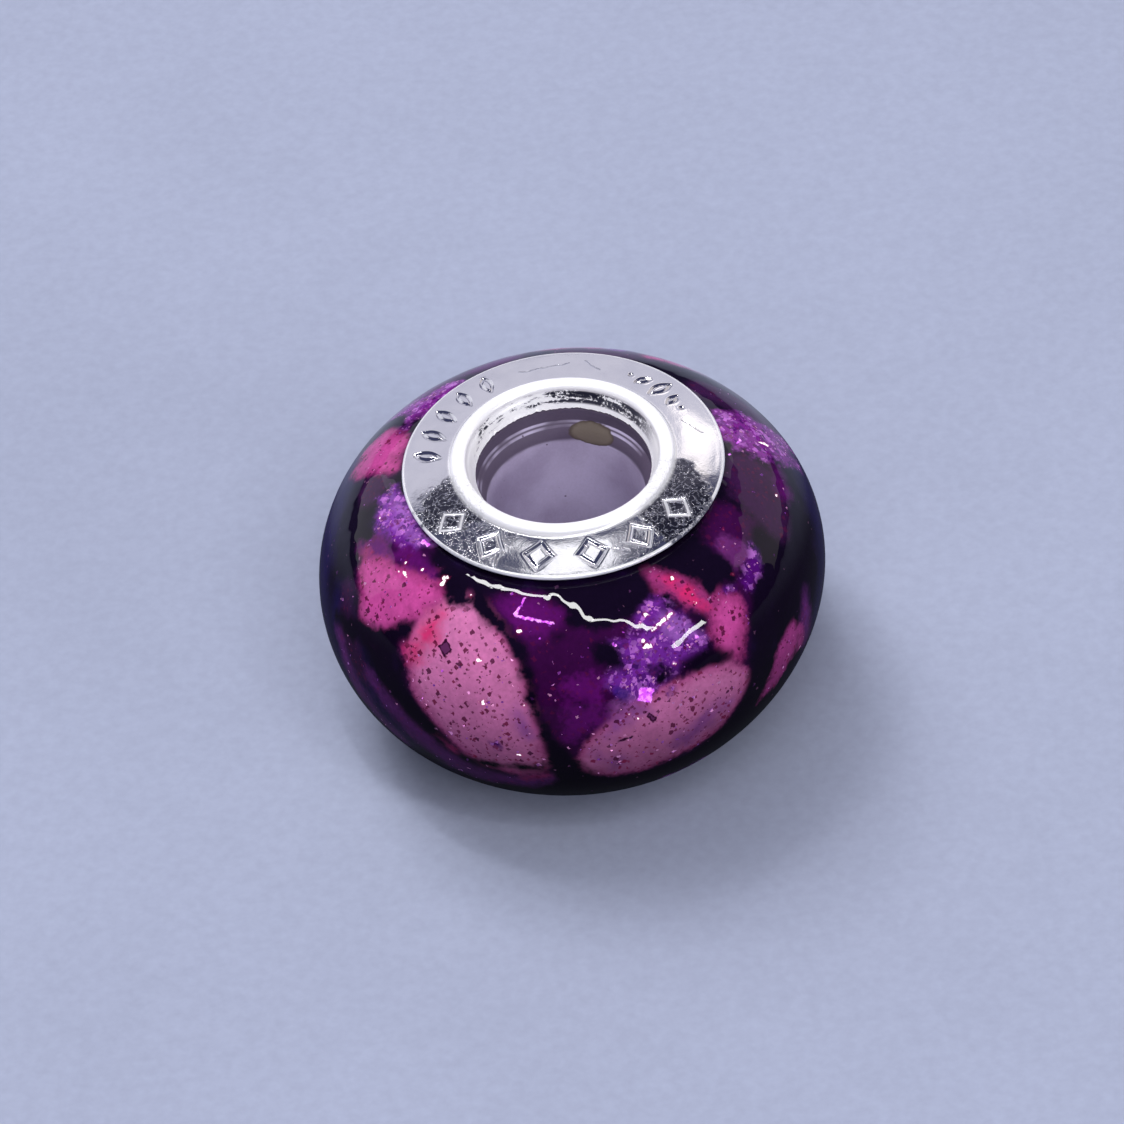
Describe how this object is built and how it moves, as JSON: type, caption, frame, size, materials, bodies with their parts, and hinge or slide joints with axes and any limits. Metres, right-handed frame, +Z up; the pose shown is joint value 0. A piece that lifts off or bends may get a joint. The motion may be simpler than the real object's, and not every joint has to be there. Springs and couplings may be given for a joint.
{
  "type": "european charm bead",
  "caption": "Rounded marbled glass charm bead with a domed silver cap on each end and a wide bore that slides on a bracelet chain.",
  "frame": {"origin": "on the bore's axis, at the foot of the lower cap's lip, where the bead stands", "axes": "+Z up along the bore; round about it, so X and Y are free"},
  "size_m": [0.0142, 0.0142, 0.009],
  "materials": {
    "marbled_glass": "gloss, pink, violet and black marbling under a clear layer, with glitter",
    "silver": "polished silver, slightly worn"
  },
  "bodies": {
    "root": {"glass_body": "marbled_glass", "upper_end_cap": "silver", "lower_end_cap": "silver"}
  },
  "joints": []
}
